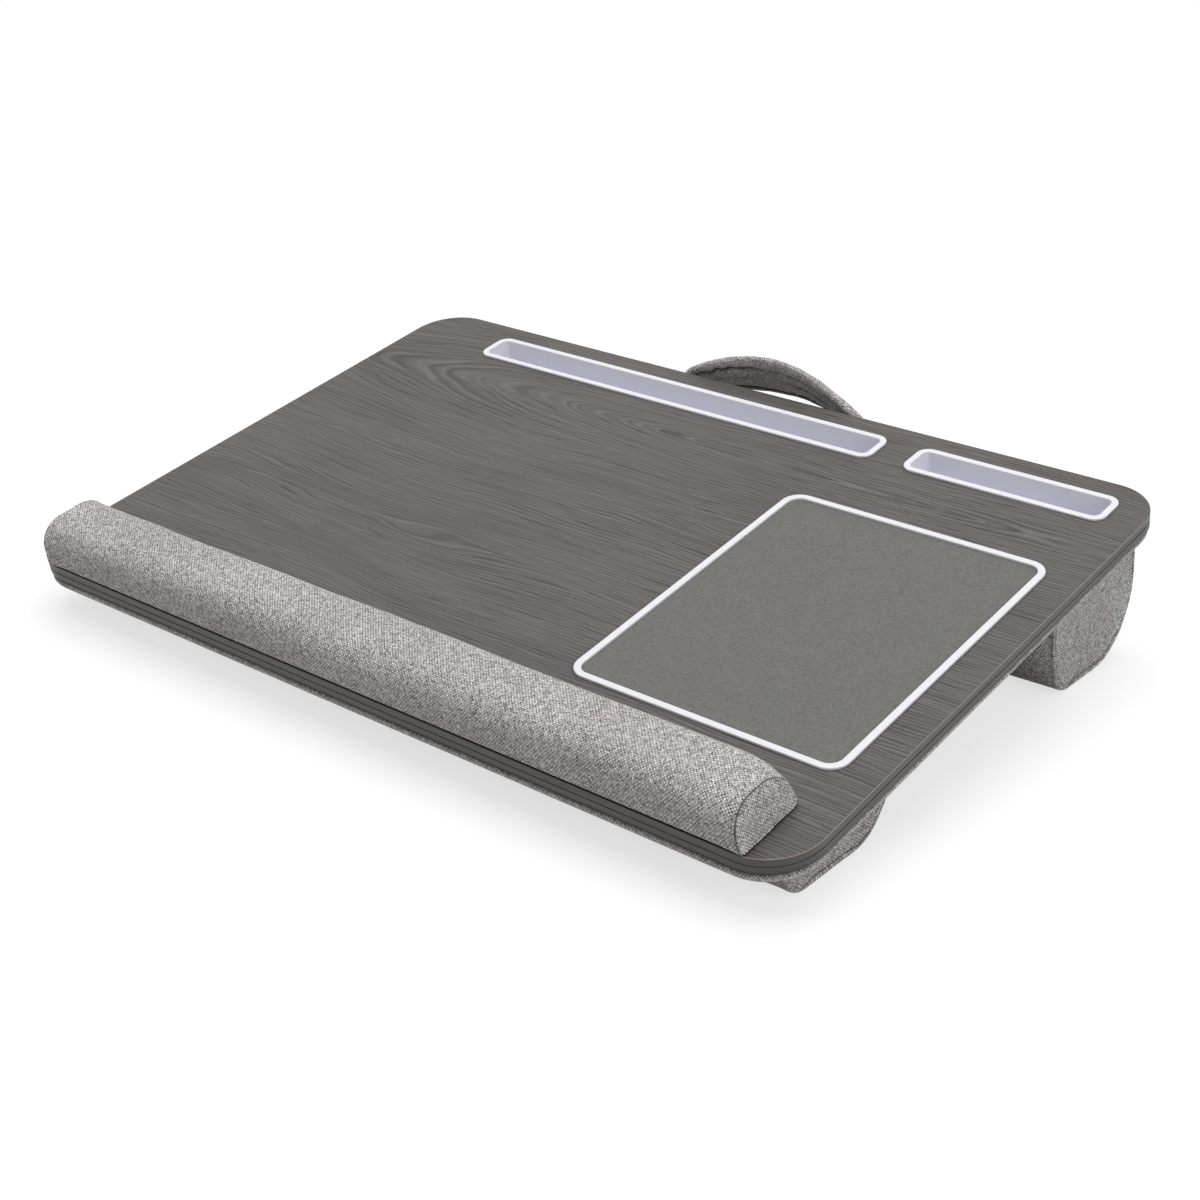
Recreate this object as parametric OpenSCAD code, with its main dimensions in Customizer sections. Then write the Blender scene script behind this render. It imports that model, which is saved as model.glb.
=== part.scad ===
// Cushioned lap desk: a wood grain board with a padded wrist rest, a framed mouse pad and two
// slots, carried on a fabric base with a low front cushion, a tall rear cushion and a carry handle.
// The desk is drawn flat, with the middle of the board's top face at the origin, X to the right
// and Y to the rear, and is then tipped so that both cushions stand on the floor.

/* [Board] */
// Width of the board, left to right
board_w = 550; // [500:5:640]
// Depth of the board, front to rear
board_d = 375; // [350:5:420]
// Full thickness of the board with its top and bottom sheets
board_t = 9; // [7:0.5:14]
// Radius of the board's four corners
board_r = 30; // [15:1:45]
// Thickness of the wood grain sheet on top
laminate_t = 0.6; // [0.4:0.1:1.2]
// Thickness of the balancing sheet below
backing_t = 0.5; // [0.3:0.1:1]
// Thickness of the dark edge band
edge_band_t = 1; // [0.6:0.1:2]
// Height of the groove that runs round the edge band
edge_groove_h = 0.8; // [0.4:0.1:1.5]
// Depth of that groove
edge_groove_d = 0.4; // [0.2:0.1:0.5]

/* [Desk on its cushions] */
// Angle by which the rear of the board stands higher than the front
desk_tilt = 9.6; // [6:0.2:12]
// Height of the front cushion below the base panel, at its front face
front_cushion_h = 23; // [20:1:34]

/* [Slots] */
// Opening length of the long slot for a phone or tablet
device_slot_w = 303; // [240:1:340]
// Opening length of the short slot for pens
pen_slot_w = 121; // [80:1:130]
// Opening depth of both slots, front to rear
slot_d = 20; // [16:0.5:26]
// Depth of both slots below the board's top face
slot_depth = 18; // [14:0.5:24]
// Corner radius of the slot openings
slot_r = 4; // [2:0.5:7]
// Wall thickness of the slot trays
tray_wall = 1.5; // [1:0.1:2.5]
// Width of the lip round each tray
tray_lip_w = 4; // [3.6:0.2:6]
// Height of that lip above the board
tray_lip_h = 1.3; // [0.8:0.1:2]
// Distance from the board's rear edge to the slots' rear edge
slot_rear_margin = 19; // [14:0.5:30]
// Space on the board between the two trays' lips
slot_spacing = 22; // [14:1:40]

/* [Mouse pad] */
// Outer width of the mouse pad's frame
pad_w = 167.6; // [140:0.2:190]
// Outer depth of the mouse pad's frame
pad_d = 208.6; // [170:0.2:220]
// Outer corner radius of the frame
pad_r = 11.5; // [8:0.5:20]
// Width of the frame's rounded bead
pad_bead_w = 4.2; // [4:0.1:8]
// Height of the bead above the board
pad_bead_h = 1.4; // [0.8:0.1:2.5]
// Width of the rib that holds the frame in the board
pad_rib_w = 2.6; // [1.6:0.1:3]
// Depth of the recess under the mouse pad
pad_recess = 2.6; // [2.2:0.1:4]
// Thickness of the pad's leather
leather_t = 1; // [0.6:0.1:1.4]
// Distance from the board's right edge to the frame and the pen tray
right_margin = 20; // [12:1:40]
// Distance from the middle of the board to the rear edge of the frame
pad_rear = 92; // [80:0.2:110]

/* [Wrist rest] */
// Distance from the board's side to each end of the wrist rest
rest_side_gap = 23.5; // [20:0.5:50]
// Depth of the wrist rest, front to rear
rest_d = 45.5; // [36:0.5:60]
// Height of the wrist rest above the board
rest_h = 26; // [20:0.5:34]
// Radius of its rounded front
rest_front_r = 14; // [8:0.5:17]
// Radius of its rounded rear
rest_rear_r = 14; // [8:0.5:17]
// Thickness of the stiff strip inside it
rest_strip_t = 2.5; // [1.5:0.5:4]
// Thickness of the adhesive tape under it
tape_t = 0.6; // [0.4:0.1:0.8]
// Width of each strip of adhesive tape
tape_w = 14; // [8:1:16]

/* [Base and cushions] */
// Distance that the base stays inside the board's edge
base_inset = 1.3; // [0.5:0.1:4]
// Thickness of the stiff board inside the base
base_board_t = 2.8; // [2:0.1:5]
// Thickness of the foam under that board
base_foam_t = 1; // [0.5:0.1:4]
// Thickness of the cover fabric
fabric_t = 1; // [0.6:0.1:1.4]
// Width of the fabric that is folded over the top of the base
base_hem_w = 15; // [10:1:16]
// Distance from the board's side to each end of the cushions
cushion_side_gap = 13; // [12:0.5:30]
// Distance from the board's front edge to the front cushion
front_cushion_y = 18.5; // [8:0.5:30]
// Depth of the front cushion, front to rear
front_cushion_d = 90; // [80:1:100]
// Radius of the front cushion's lower front edge
front_cushion_front_r = 20; // [12:1:24]
// Radius of the front cushion's lower rear edge
front_cushion_rear_r = 32; // [20:1:36]
// Distance from the board's rear edge to the rear cushion
rear_cushion_y = 8.5; // [5:0.5:14]
// Depth of the rear cushion, front to rear
rear_cushion_d = 94.5; // [80:0.5:110]
// Radius of the rear cushion's lower front edge
rear_cushion_front_r = 20; // [10:1:30]
// Radius of the rear cushion's lower rear edge
rear_cushion_rear_r = 36; // [20:1:44]

/* [Carry handle] */
// Width of the handle between its two sewn ends
handle_w = 136; // [110:2:170]
// Distance that the middle of the loop stands out from its ends
handle_reach = 17.5; // [15:0.5:26]
// Angle of the loop above the plane of the board
handle_rise = 32; // [20:1:34]
// Width of the strap in the middle of the loop
strap_w = 39; // [26:1:40]
// Width of the strap at its sewn ends
strap_end_w = 7.8; // [6:0.1:9]
// Height of the strap's upper edge above its swing line, in the middle
strap_upper = 23.2; // [14:0.1:24]
// Height of the strap's upper edge above its swing line, at the ends
strap_end_upper = 4.3; // [3:0.1:5]
// Thickness of the padded strap
strap_t = 7; // [5:0.5:8]
// Distance from the board's rear edge to the handle's swing line
handle_gap = 8.8; // [8.4:0.1:12]
// Depth of the swing line below the board's top face
handle_drop = 11.3; // [10.5:0.1:14]
// Width of each sewn strap end that the handle swings from
tab_w = 12; // [8:1:20]
// Thickness of the tongue that holds each sewn end to the base
tab_t = 1.5; // [1:0.1:2]

/* [Fit] */
// Free space on each side of a tray or frame in its cut-out
fit_gap = 0.3; // [0.1:0.05:0.5]
// Free space between soft pieces that move past each other
soft_gap = 0.3; // [0.2:0.05:0.6]

/* [Staples] */
// Length of a staple's back
staple_l = 10; // [8:1:12]
// Thickness of the staple wire
staple_wire = 0.6; // [0.4:0.1:0.8]
// Depth to which the staple's legs reach into the base board
staple_bite = 2; // [1:0.1:2.4]
// Distance between neighbouring staples
staple_pitch = 60; // [40:5:90]

/* [Hidden] */
$fn = 48;

// Points on each rounded corner of an outline
arc_steps = 12;
// Length by which a cutting shape runs past the face that it cuts
past = 2;

// Height to which a tray's wall or a frame's rib enters its bead
lip_root = 0.3;

// Places along the board
front_edge = -board_d / 2;
rear_edge = board_d / 2;
tray_lip_d = slot_d + 2 * tray_lip_w;
slot_y = rear_edge - slot_rear_margin + tray_lip_w - tray_lip_d / 2;
pen_slot_x = board_w / 2 - right_margin - tray_lip_w - pen_slot_w / 2;
device_slot_x = pen_slot_x - pen_slot_w / 2 - device_slot_w / 2 - 2 * tray_lip_w - slot_spacing;
pad_x = board_w / 2 - right_margin - pad_w / 2;
pad_y = pad_rear - pad_d / 2;

// Heights below the board's top face
board_under = -board_t;
base_board_top = board_under - tape_t;
base_board_under = base_board_top - base_board_t;
base_foam_under = base_board_under - base_foam_t;
base_under = base_foam_under - fabric_t;
tray_under = -(slot_depth + tray_wall);

// Size of the base, and the cushions' faces
base_w = board_w - 2 * base_inset;
base_d = board_d - 2 * base_inset;
base_r = board_r - base_inset;
front_cushion_front = front_edge + front_cushion_y;
front_cushion_rear = front_cushion_front + front_cushion_d;
rear_cushion_rear = rear_edge - rear_cushion_y;
rear_cushion_front = rear_cushion_rear - rear_cushion_d;

// The floor, as a line in the desk's own frame: it meets the front cushion's front face
floor_at_front = base_under - front_cushion_h;
function floor_z(y) = floor_at_front - (y - front_cushion_front) * tan(desk_tilt);
lift = -(front_cushion_front * sin(desk_tilt) + floor_at_front * cos(desk_tilt));

// Outline tools: a corner is [y, z, radius], and rounded() turns corners into points
function unit(v) = v / norm(v);
function flat(p) = [p[0], p[1]];
function corner_points(a, b, c, r) =
    r <= 0 ? [b] :
    let (u = unit(a - b), w = unit(c - b),
         half = acos(u * w) / 2,
         fit_r = min(r, norm(a - b) * 0.98 * tan(half), norm(c - b) * 0.98 * tan(half)),
         mid = b + unit(u + w) * fit_r / sin(half),
         start = b + u * fit_r / tan(half) - mid,
         side = (b - a)[0] * (c - b)[1] - (b - a)[1] * (c - b)[0] > 0 ? 1 : -1,
         from = atan2(start[1], start[0]),
         turn = side * (180 - 2 * half))
    [for (i = [0:arc_steps])
        mid + fit_r * [cos(from + turn * i / arc_steps), sin(from + turn * i / arc_steps)]];
function rounded(corners) =
    let (n = len(corners))
    [for (i = [0:n - 1])
        each corner_points(flat(corners[(i + n - 1) % n]), flat(corners[i]),
                           flat(corners[(i + 1) % n]), corners[i][2])];

// Side outline of a cushion between two faces, made smaller by inset except at its open top
function cushion_outline(front, rear, front_r, rear_r, inset) =
    let (y0 = front + inset, y1 = rear - inset, up = inset / cos(desk_tilt))
    rounded([[y0, base_under, 0], [y0, floor_z(y0) + up, front_r - inset],
             [y1, floor_z(y1) + up, rear_r - inset], [y1, base_under, 0]]);

// Side outline of the wrist rest, made smaller all round by inset
rest_front = front_edge + 0.2;
rest_under = tape_t;
function rest_outline(inset) =
    let (y0 = rest_front + inset, y1 = rest_front + rest_d - inset,
         z0 = rest_under + inset, z1 = rest_h - inset)
    rounded([[y0, z0, 0], [y1, z0, 0], [y1, z1, rest_rear_r - inset],
             [y0, z1, rest_front_r - inset]]);

// The handle's strap: rings of points along an arch that stands out from the swing line.
// Each ring is [x, out, up] in the loop's own plane, and inset makes the strap smaller.
handle_y = rear_edge + handle_gap;
handle_z = -handle_drop;
strap_rings = 36;
ring_points = 16;
// How soon the strap reaches its full width, how round its edges are, and the length over
// which it turns square to the swing line at each end
strap_spread = 0.4;
strap_roundness = 0.75;
strap_turn = handle_w * 0.05;
function arch_x(i) = handle_w / 2 * sin(180 * i / strap_rings - 90);
function arch_fullness(x) = cos(90 * 2 * x / handle_w);
function arch_point(i) = [arch_x(i), handle_reach * arch_fullness(arch_x(i))];
function end_turn(i) = min(1, (handle_w / 2 - abs(arch_x(i))) / strap_turn);
function arch_slope(i) =
    -handle_reach * PI / handle_w * sin(90 * 2 * arch_x(i) / handle_w) * end_turn(i);
function arch_normal(i) = unit([-arch_slope(i), 1]);
function spread(i) = pow(max(0, arch_fullness(arch_x(i))), strap_spread);
function strap_top(i) = strap_end_upper + (strap_upper - strap_end_upper) * spread(i);
function strap_width(i) = strap_end_w + (strap_w - strap_end_w) * spread(i);
function soft_power(v) = sign(v) * pow(abs(v), strap_roundness);
function strap_ring(i, inset) =
    let (mid = arch_point(i), out = arch_normal(i),
         half_w = strap_width(i) / 2 - inset, half_t = strap_t / 2 - inset,
         up = strap_top(i) - strap_width(i) / 2)
    [for (k = [0:ring_points - 1])
        let (a = 360 * k / ring_points,
             off = half_t * soft_power(cos(a)), rise = half_w * soft_power(sin(a)))
        [mid[0] + out[0] * off, mid[1] + out[1] * off, up + rise]];
function swing(p) =
    [p[0],
     handle_y + p[1] * cos(handle_rise) - p[2] * sin(handle_rise),
     handle_z + p[1] * sin(handle_rise) + p[2] * cos(handle_rise)];

// Reach of the whole desk along the floor, which centres it over the origin
function floor_y(y, z) = y * cos(desk_tilt) - z * sin(desk_tilt);
front_reach = min([for (p = rest_outline(0)) floor_y(p[0], p[1])]);
rear_reach = max([for (i = [0:strap_rings], p = strap_ring(i, 0)) floor_y(swing(p)[1], swing(p)[2])]);
middle = (front_reach + rear_reach) / 2;

// Stands the flat desk on its cushions, centred on the floor
module stand() {
    translate([0, -middle, lift]) rotate([desk_tilt, 0, 0]) children();
}

// Flat rounded rectangle, as exact arcs and straight lines
module plate(w, d, r) {
    square([w - 2 * r, d], center = true);
    square([w, d - 2 * r], center = true);
    for (sx = [-1, 1], sy = [-1, 1])
        translate([sx * (w / 2 - r), sy * (d / 2 - r)]) circle(r);
}

// Rounded plate between two heights
module slab(w, d, r, low, high) {
    translate([0, 0, low]) linear_extrude(high - low) plate(w, d, r);
}

// Side outline in Y and Z, drawn out along X between two places
module along_x(x0, x1) {
    translate([x0, 0, 0]) rotate([90, 0, 90]) linear_extrude(x1 - x0) children();
}

// Section carried round a rounded rectangle: the section's x points outward
module ring_of(w, d, r) {
    for (mx = [0, 1], my = [0, 1]) mirror([mx, 0, 0]) mirror([0, my, 0]) {
        translate([0, d / 2, 0]) rotate([90, 0, 90]) linear_extrude(w / 2 - r) children();
        translate([w / 2, d / 2 - r, 0]) rotate([90, 0, 0]) linear_extrude(d / 2 - r) children();
        translate([w / 2 - r, d / 2 - r, 0]) rotate_extrude(angle = 90) translate([r, 0]) children();
    }
}

// Section of a bead with two rounded upper corners, which stay above its flat foot
module bead_section(w, h) {
    r = h / 2;
    translate([-w / 2, 0]) square([w, h - r]);
    translate([-w / 2 + r, 0]) square([w - 2 * r, h]);
    for (s = [-1, 1]) translate([s * (w / 2 - r), h - r]) circle(r);
}

// Space that the two trays need, with free space round them
module tray_cutouts(low, high) {
    reach = tray_wall + fit_gap;
    for (slot = [[device_slot_x, device_slot_w], [pen_slot_x, pen_slot_w]])
        translate([slot[0], slot_y, 0])
            slab(slot[1] + 2 * reach, slot_d + 2 * reach, slot_r + reach, low, high);
}

// Space that the mouse pad's rib and pad need in the board
module pad_cutout(low, high) {
    lip = (pad_bead_w - pad_rib_w) / 2 - fit_gap;
    translate([pad_x, pad_y, 0])
        slab(pad_w - 2 * lip, pad_d - 2 * lip, pad_r - lip, low, high);
}

// Board and its skins
module board_layer(low, high, inset) {
    slab(board_w - 2 * inset, board_d - 2 * inset, board_r - inset, low, high);
}

module desk_board() {
    color("#7a6a58") stand() difference() {
        board_layer(board_under + backing_t, -laminate_t, edge_band_t);
        tray_cutouts(board_under - past, past);
        pad_cutout(-pad_recess, past);
    }
}

module wood_laminate() {
    color("#6c6a67") stand() difference() {
        board_layer(-laminate_t, 0, 0);
        tray_cutouts(-past, past);
        pad_cutout(-past, past);
    }
}

module backing_sheet() {
    color("#4b4643") stand() difference() {
        board_layer(board_under, board_under + backing_t, edge_band_t);
        tray_cutouts(board_under - past, 0);
    }
}

module edge_band() {
    groove_z = (board_under - laminate_t) / 2;
    color("#57514d") stand() difference() {
        board_layer(board_under, -laminate_t, 0);
        board_layer(board_under - past, past, edge_band_t);
        difference() {
            board_layer(groove_z - edge_groove_h / 2, groove_z + edge_groove_h / 2, -past);
            board_layer(board_under - past, past, edge_groove_d);
        }
    }
}

// White slot trays that drop through the board, the base and into the rear cushion
module slot_tray(slot_w) {
    difference() {
        union() {
            slab(slot_w + 2 * tray_wall, slot_d + 2 * tray_wall, slot_r + tray_wall,
                 tray_under, lip_root);
            ring_of(slot_w + tray_lip_w, slot_d + tray_lip_w, slot_r + tray_lip_w / 2)
                bead_section(tray_lip_w, tray_lip_h);
        }
        slab(slot_w, slot_d, slot_r, -slot_depth, past);
    }
}

module device_slot_tray() {
    color("#ececf0") stand() translate([device_slot_x, slot_y, 0]) slot_tray(device_slot_w);
}

module pen_slot_tray() {
    color("#ececf0") stand() translate([pen_slot_x, slot_y, 0]) slot_tray(pen_slot_w);
}

// Mouse pad: a beaded frame whose rib stands in the board's recess, with leather over foam
pad_path_w = pad_w - pad_bead_w;
pad_path_d = pad_d - pad_bead_w;
pad_path_r = pad_r - pad_bead_w / 2;
pad_inside = pad_rib_w + 2 * soft_gap;

module mouse_pad_frame() {
    color("#ececf0") stand() translate([pad_x, pad_y, 0])
        ring_of(pad_path_w, pad_path_d, pad_path_r) {
            union() {
                bead_section(pad_bead_w, pad_bead_h);
                translate([-pad_rib_w / 2, -pad_recess]) square([pad_rib_w, pad_recess + lip_root]);
            }
        }
}

module mouse_pad_leather() {
    color("#74756f") stand() translate([pad_x, pad_y, 0])
        slab(pad_path_w - pad_inside, pad_path_d - pad_inside, pad_path_r - pad_inside / 2,
             -leather_t, 0);
}

module mouse_pad_foam() {
    color("#3a3a3a") stand() translate([pad_x, pad_y, 0])
        slab(pad_path_w - pad_inside, pad_path_d - pad_inside, pad_path_r - pad_inside / 2,
             -pad_recess, -leather_t);
}

// Wrist rest: a fabric sleeve round foam and a stiff strip, closed by sewn ends, on tape
rest_half = board_w / 2 - rest_side_gap;

module wrist_rest_cover() {
    color("#9b9894") stand() along_x(fabric_t - rest_half, rest_half - fabric_t) difference() {
        polygon(rest_outline(0));
        polygon(rest_outline(fabric_t));
    }
}

module wrist_rest_end(side) {
    color("#9b9894") stand() mirror([side < 0 ? 1 : 0, 0, 0])
        along_x(rest_half - fabric_t, rest_half) polygon(rest_outline(0));
}

module wrist_rest_end_left() { wrist_rest_end(-1); }

module wrist_rest_end_right() { wrist_rest_end(1); }

module wrist_rest_strip() {
    color("#8c6f4c") stand()
        translate([fabric_t - rest_half, rest_front + fabric_t, rest_under + fabric_t])
            cube([2 * (rest_half - fabric_t), rest_d - 2 * fabric_t, rest_strip_t]);
}

module wrist_rest_foam() {
    color("#d8d2bc") stand() along_x(fabric_t - rest_half, rest_half - fabric_t) difference() {
        polygon(rest_outline(fabric_t));
        translate([rest_front, 0]) square([rest_d, rest_under + fabric_t + rest_strip_t]);
    }
}

module wrist_rest_tape() {
    end_gap = tape_w;
    color("#e6e6e0") stand()
        for (share = [1 / 4, 3 / 4])
            translate([end_gap - rest_half, rest_front + rest_d * share - tape_w / 2, 0])
                cube([2 * (rest_half - end_gap), tape_w, tape_t]);
}

// Base: a stiff board with thin foam below, wrapped in fabric that is folded over and stapled
module base_layer(low, high, inset) {
    slab(base_w - 2 * inset, base_d - 2 * inset, base_r - inset, low, high);
}

module base_cover() {
    color("#a5a29e") stand() difference() {
        base_layer(base_under, board_under, 0);
        base_layer(base_foam_under, base_board_top, fabric_t);
        base_layer(base_board_top, past, base_hem_w);
        tray_cutouts(base_under - past, past);
    }
}

module base_foam() {
    color("#d8d2bc") stand() difference() {
        base_layer(base_foam_under, base_board_under, fabric_t);
        tray_cutouts(base_under - past, past);
    }
}

module base_board() {
    color("#8c6f4c") stand() difference() {
        base_layer(base_board_under, base_board_top, fabric_t);
        tray_cutouts(base_under - past, past);
    }
}

module base_tape() {
    rows = 5;
    strip_l = base_w - 2 * base_hem_w - 2 * tape_w;
    first = base_hem_w + tape_w - base_d / 2;
    last = slot_y - slot_d / 2 - tray_wall - 2 * tape_w;
    color("#e6e6e0") stand()
        for (i = [0:rows - 1])
            translate([-strip_l / 2, first + (last - first) * i / (rows - 1), base_board_top])
                cube([strip_l, tape_w, tape_t]);
}

// Staples through the folded hem, evenly spaced along the four sides
module staple() {
    translate([-staple_l / 2, -staple_wire / 2, board_under - staple_wire])
        cube([staple_l, staple_wire, staple_wire]);
    for (s = [-1, 1])
        translate([s * (staple_l - staple_wire) / 2 - staple_wire / 2, -staple_wire / 2,
                   base_board_top - staple_bite])
            cube([staple_wire, staple_wire, board_under - base_board_top + staple_bite]);
}

module staple_row(run) {
    count = floor(run / staple_pitch);
    for (i = [0:count]) translate([(i - count / 2) * staple_pitch, 0, 0]) staple();
}

module base_staples() {
    hem_mid = base_hem_w / 2;
    run_x = base_w - 2 * base_r;
    run_y = base_d - 2 * base_r;
    color("#b9bcc0") stand() for (s = [-1, 1]) {
        translate([0, s * (base_d / 2 - hem_mid), 0]) staple_row(run_x);
        translate([s * (base_w / 2 - hem_mid), 0, 0]) rotate(90) staple_row(run_y);
    }
}

// Cushions: a fabric sleeve that is open at the base, two sewn end panels and a filling
cushion_half = board_w / 2 - cushion_side_gap;
function front_outline(inset) =
    cushion_outline(front_cushion_front, front_cushion_rear, front_cushion_front_r,
                    front_cushion_rear_r, inset);
function rear_outline(inset) =
    cushion_outline(rear_cushion_front, rear_cushion_rear, rear_cushion_front_r,
                    rear_cushion_rear_r, inset);

module cushion_cover(outer, inner) {
    color("#9b9894") stand() along_x(fabric_t - cushion_half, cushion_half - fabric_t)
        difference() {
            polygon(outer);
            polygon(inner);
        }
}

module cushion_end(side, outer) {
    color("#9b9894") stand() mirror([side < 0 ? 1 : 0, 0, 0])
        along_x(cushion_half - fabric_t, cushion_half) polygon(outer);
}

module front_cushion_cover() { cushion_cover(front_outline(0), front_outline(fabric_t)); }

module front_cushion_end_left() { cushion_end(-1, front_outline(0)); }

module front_cushion_end_right() { cushion_end(1, front_outline(0)); }

module front_cushion_filling() {
    color("#e9e6dc") stand() along_x(fabric_t - cushion_half, cushion_half - fabric_t)
        polygon(front_outline(fabric_t));
}

module rear_cushion_cover() { cushion_cover(rear_outline(0), rear_outline(fabric_t)); }

module rear_cushion_end_left() { cushion_end(-1, rear_outline(0)); }

module rear_cushion_end_right() { cushion_end(1, rear_outline(0)); }

module rear_cushion_filling() {
    color("#e9e6dc") stand() difference() {
        along_x(fabric_t - cushion_half, cushion_half - fabric_t)
            polygon(rear_outline(fabric_t));
        tray_cutouts(tray_under - fit_gap, past);
    }
}

// Carry handle: a sewn strap over a padded core. Its skin is a list of quads over two rows of
// rings, turned inside out for the inner skin of the hollow cover.
function strap_points(inset) =
    [for (i = [0:strap_rings], p = strap_ring(i, inset)) swing(p)];
function strap_skin(first, inward) =
    [for (i = [0:strap_rings - 1], k = [0:ring_points - 1])
        let (a = first + i * ring_points, b = a + ring_points, next = (k + 1) % ring_points)
        inward ? [a + k, a + next, b + next, b + k] : [a + k, b + k, b + next, a + next]];
last_ring = strap_rings * ring_points;
skin_size = last_ring + ring_points;

module handle_cover() {
    start = [for (k = [0:ring_points - 1])
        let (next = (k + 1) % ring_points) [k, next, skin_size + next, skin_size + k]];
    end = [for (k = [0:ring_points - 1])
        let (next = (k + 1) % ring_points)
        [last_ring + k, skin_size + last_ring + k, skin_size + last_ring + next, last_ring + next]];
    color("#9b9894") stand()
        polyhedron(concat(strap_points(0), strap_points(fabric_t)),
                   concat(start, end, strap_skin(0, false), strap_skin(skin_size, true)));
}

module handle_padding() {
    start = [for (k = [0:ring_points - 1]) k];
    end = [for (k = [0:ring_points - 1]) last_ring + ring_points - 1 - k];
    color("#d8d2bc") stand()
        polyhedron(strap_points(fabric_t), concat([start, end], strap_skin(0, false)));
}

// Sewn end of the strap, on a tongue that runs forward under the base and up its rear edge
module handle_tab(side) {
    tongue_top = base_under;
    tongue_front = rear_cushion_rear + soft_gap;
    color("#9b9894") stand() mirror([side < 0 ? 1 : 0, 0, 0])
        translate([handle_w / 2 + soft_gap, 0, 0]) {
            translate([0, base_d / 2, tongue_top - tab_t])
                cube([tab_w, tab_t, board_under - tongue_top + tab_t]);
            translate([0, tongue_front, tongue_top - tab_t])
                cube([tab_w, handle_y - tongue_front, tab_t]);
            translate([0, handle_y, handle_z]) rotate([0, 90, 0])
                cylinder(h = tab_w, r = handle_z - (tongue_top - tab_t));
        }
}

module handle_tab_left() { handle_tab(-1); }

module handle_tab_right() { handle_tab(1); }

desk_board();
wood_laminate();
backing_sheet();
edge_band();
device_slot_tray();
pen_slot_tray();
mouse_pad_frame();
mouse_pad_leather();
mouse_pad_foam();
wrist_rest_cover();
wrist_rest_end_left();
wrist_rest_end_right();
wrist_rest_foam();
wrist_rest_strip();
wrist_rest_tape();
base_cover();
base_foam();
base_board();
base_tape();
base_staples();
front_cushion_cover();
front_cushion_end_left();
front_cushion_end_right();
front_cushion_filling();
rear_cushion_cover();
rear_cushion_end_left();
rear_cushion_end_right();
rear_cushion_filling();
handle_cover();
handle_padding();
handle_tab_left();
handle_tab_right();
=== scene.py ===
import math
import bpy
from mathutils import Matrix, Vector, noise


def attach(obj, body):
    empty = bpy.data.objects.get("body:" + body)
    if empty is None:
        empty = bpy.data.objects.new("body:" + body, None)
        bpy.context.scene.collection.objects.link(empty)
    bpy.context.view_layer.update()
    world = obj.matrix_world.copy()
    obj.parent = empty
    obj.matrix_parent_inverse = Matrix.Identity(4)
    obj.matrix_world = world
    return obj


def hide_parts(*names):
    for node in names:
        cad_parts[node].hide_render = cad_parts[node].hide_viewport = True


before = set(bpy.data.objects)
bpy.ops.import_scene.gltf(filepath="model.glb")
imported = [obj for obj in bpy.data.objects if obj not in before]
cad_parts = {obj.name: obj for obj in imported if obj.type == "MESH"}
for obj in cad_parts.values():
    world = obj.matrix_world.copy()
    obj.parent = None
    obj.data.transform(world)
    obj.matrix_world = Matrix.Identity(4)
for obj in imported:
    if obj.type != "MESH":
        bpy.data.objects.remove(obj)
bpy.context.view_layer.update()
scene = bpy.context.scene
print("the packed desk is loaded")

# the desk lies tipped on its cushions: x to the right, y to the rear, z square to the board, in mm
deskPlace = {"tilt": 9.6, "middle": 16.3371, "lift": 65.0602}
tiltCos = math.cos(math.radians(deskPlace["tilt"]))
tiltSin = math.sin(math.radians(deskPlace["tilt"]))


def onDesk(x, y, z):
    return Vector((x, y * tiltCos - z * tiltSin - deskPlace["middle"],
                   y * tiltSin + z * tiltCos + deskPlace["lift"])) / 1000


def put(tree, kind, inputs=None, **settings):
    node = tree.nodes.new(kind)
    for name, value in settings.items():
        setattr(node, name, value)
    for key, value in (inputs or {}).items():
        if isinstance(value, bpy.types.NodeSocket):
            tree.links.new(value, node.inputs[key])
        else:
            node.inputs[key].default_value = value
    return node


def math2(tree, operation, a, b=None, c=None, clamp=False):
    values = {i: v for i, v in enumerate((a, b, c)) if v is not None}
    return put(tree, "ShaderNodeMath", values, operation=operation, use_clamp=clamp).outputs[0]


def times(tree, a, b, clamp=False):
    return math2(tree, "MULTIPLY", a, b, clamp=clamp)


def divided(tree, a, b, clamp=False):
    return math2(tree, "DIVIDE", a, b, clamp=clamp)


def minus(tree, a, b, clamp=False):
    return math2(tree, "SUBTRACT", a, b, clamp=clamp)


def seenDirect(tree):
    # 1 for what the camera sees, straight on or by way of a mirror or glass
    seen = put(tree, "ShaderNodeLightPath").outputs
    return math2(tree, "MAXIMUM", seen["Is Camera Ray"], math2(
        tree, "MAXIMUM", seen["Is Glossy Ray"], seen["Is Transmission Ray"]))


def blendOf(tree, amount, a, b, kind="MIX"):
    node = put(tree, "ShaderNodeMix", {0: amount, 6: a, 7: b}, data_type="RGBA", blend_type=kind)
    return node.outputs[2]


def ramp(tree, value, stops, interpolation="LINEAR"):
    node = put(tree, "ShaderNodeValToRGB", {0: value})
    bar = node.color_ramp
    bar.interpolation = interpolation
    while len(bar.elements) < len(stops):
        bar.elements.new(0.5)
    for element, (place, colour) in zip(bar.elements, stops):
        element.position = place
        if isinstance(colour, (int, float)):
            colour = (colour, colour, colour)
        element.color = (*colour, 1)
    return node.outputs[0]


def noiseAt(tree, x, y, z=0.0, scale=1.0, detail=2.0, roughness=0.5):
    spot = put(tree, "ShaderNodeCombineXYZ", {0: x, 1: y, 2: z}).outputs[0]
    node = put(tree, "ShaderNodeTexNoise",
               {"Vector": spot, "Scale": scale, "Detail": detail, "Roughness": roughness})
    return node.outputs[0]


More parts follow.
